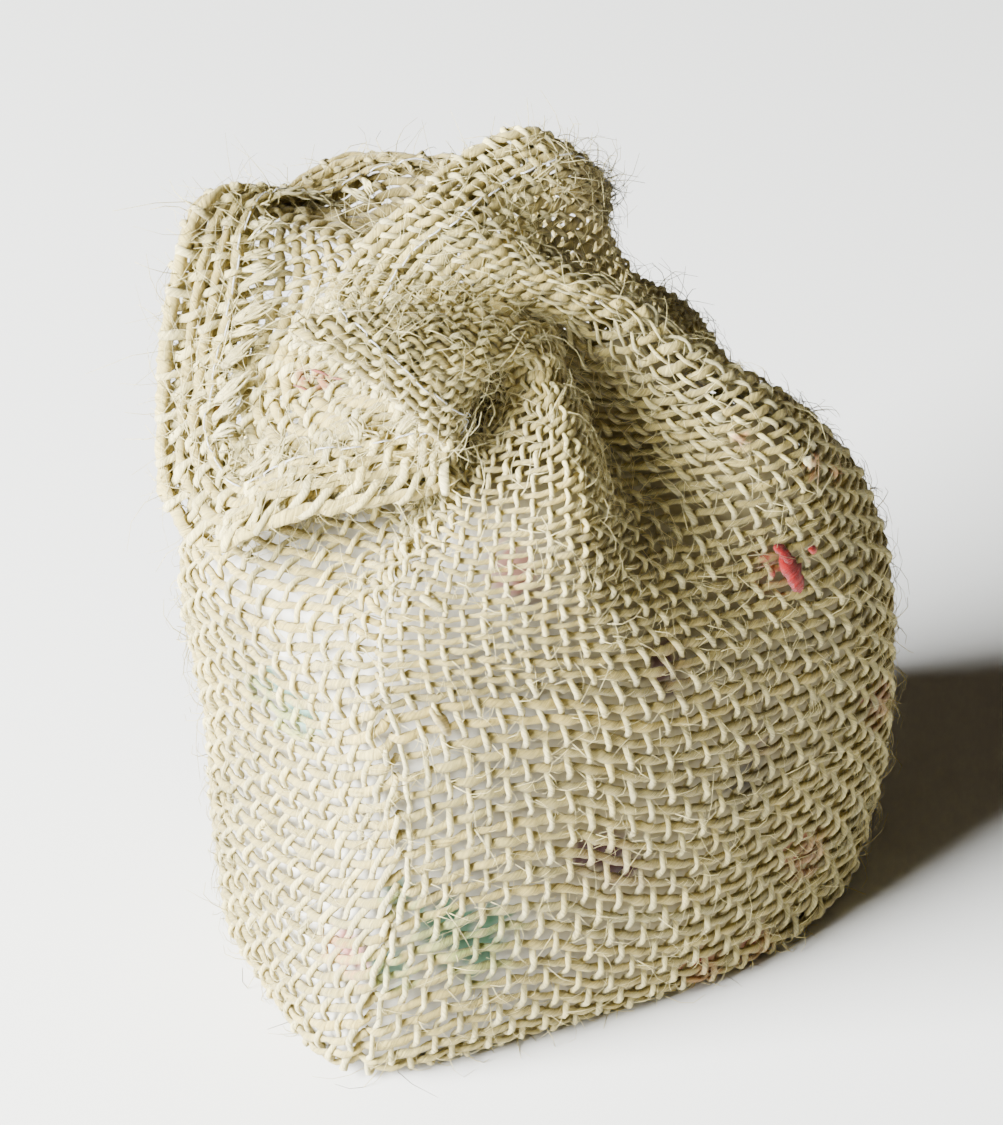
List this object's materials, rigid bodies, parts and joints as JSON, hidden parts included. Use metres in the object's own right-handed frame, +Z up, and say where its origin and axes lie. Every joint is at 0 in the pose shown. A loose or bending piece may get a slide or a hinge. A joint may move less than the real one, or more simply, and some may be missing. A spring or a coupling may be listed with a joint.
{
  "type": "burlap sack",
  "caption": "Small filled burlap sack on a flat base, gathered at the neck, with its hemmed open mouth flopped to one side and pale contents behind the weave.",
  "frame": {"origin": "on the floor, under the middle of the sack's outline", "axes": "+Z up from the flat base to the mouth, +X to the right along the broad front face, +Y from the front face to the back"},
  "size_m": [0.0859, 0.0573, 0.1033],
  "materials": {
    "burlap": "coarse plain weave of natural jute, matt",
    "wrapped_contents": "wrinkled pale film, satin"
  },
  "bodies": {
    "root": {"sack": "burlap", "filling": "wrapped_contents"}
  },
  "joints": []
}
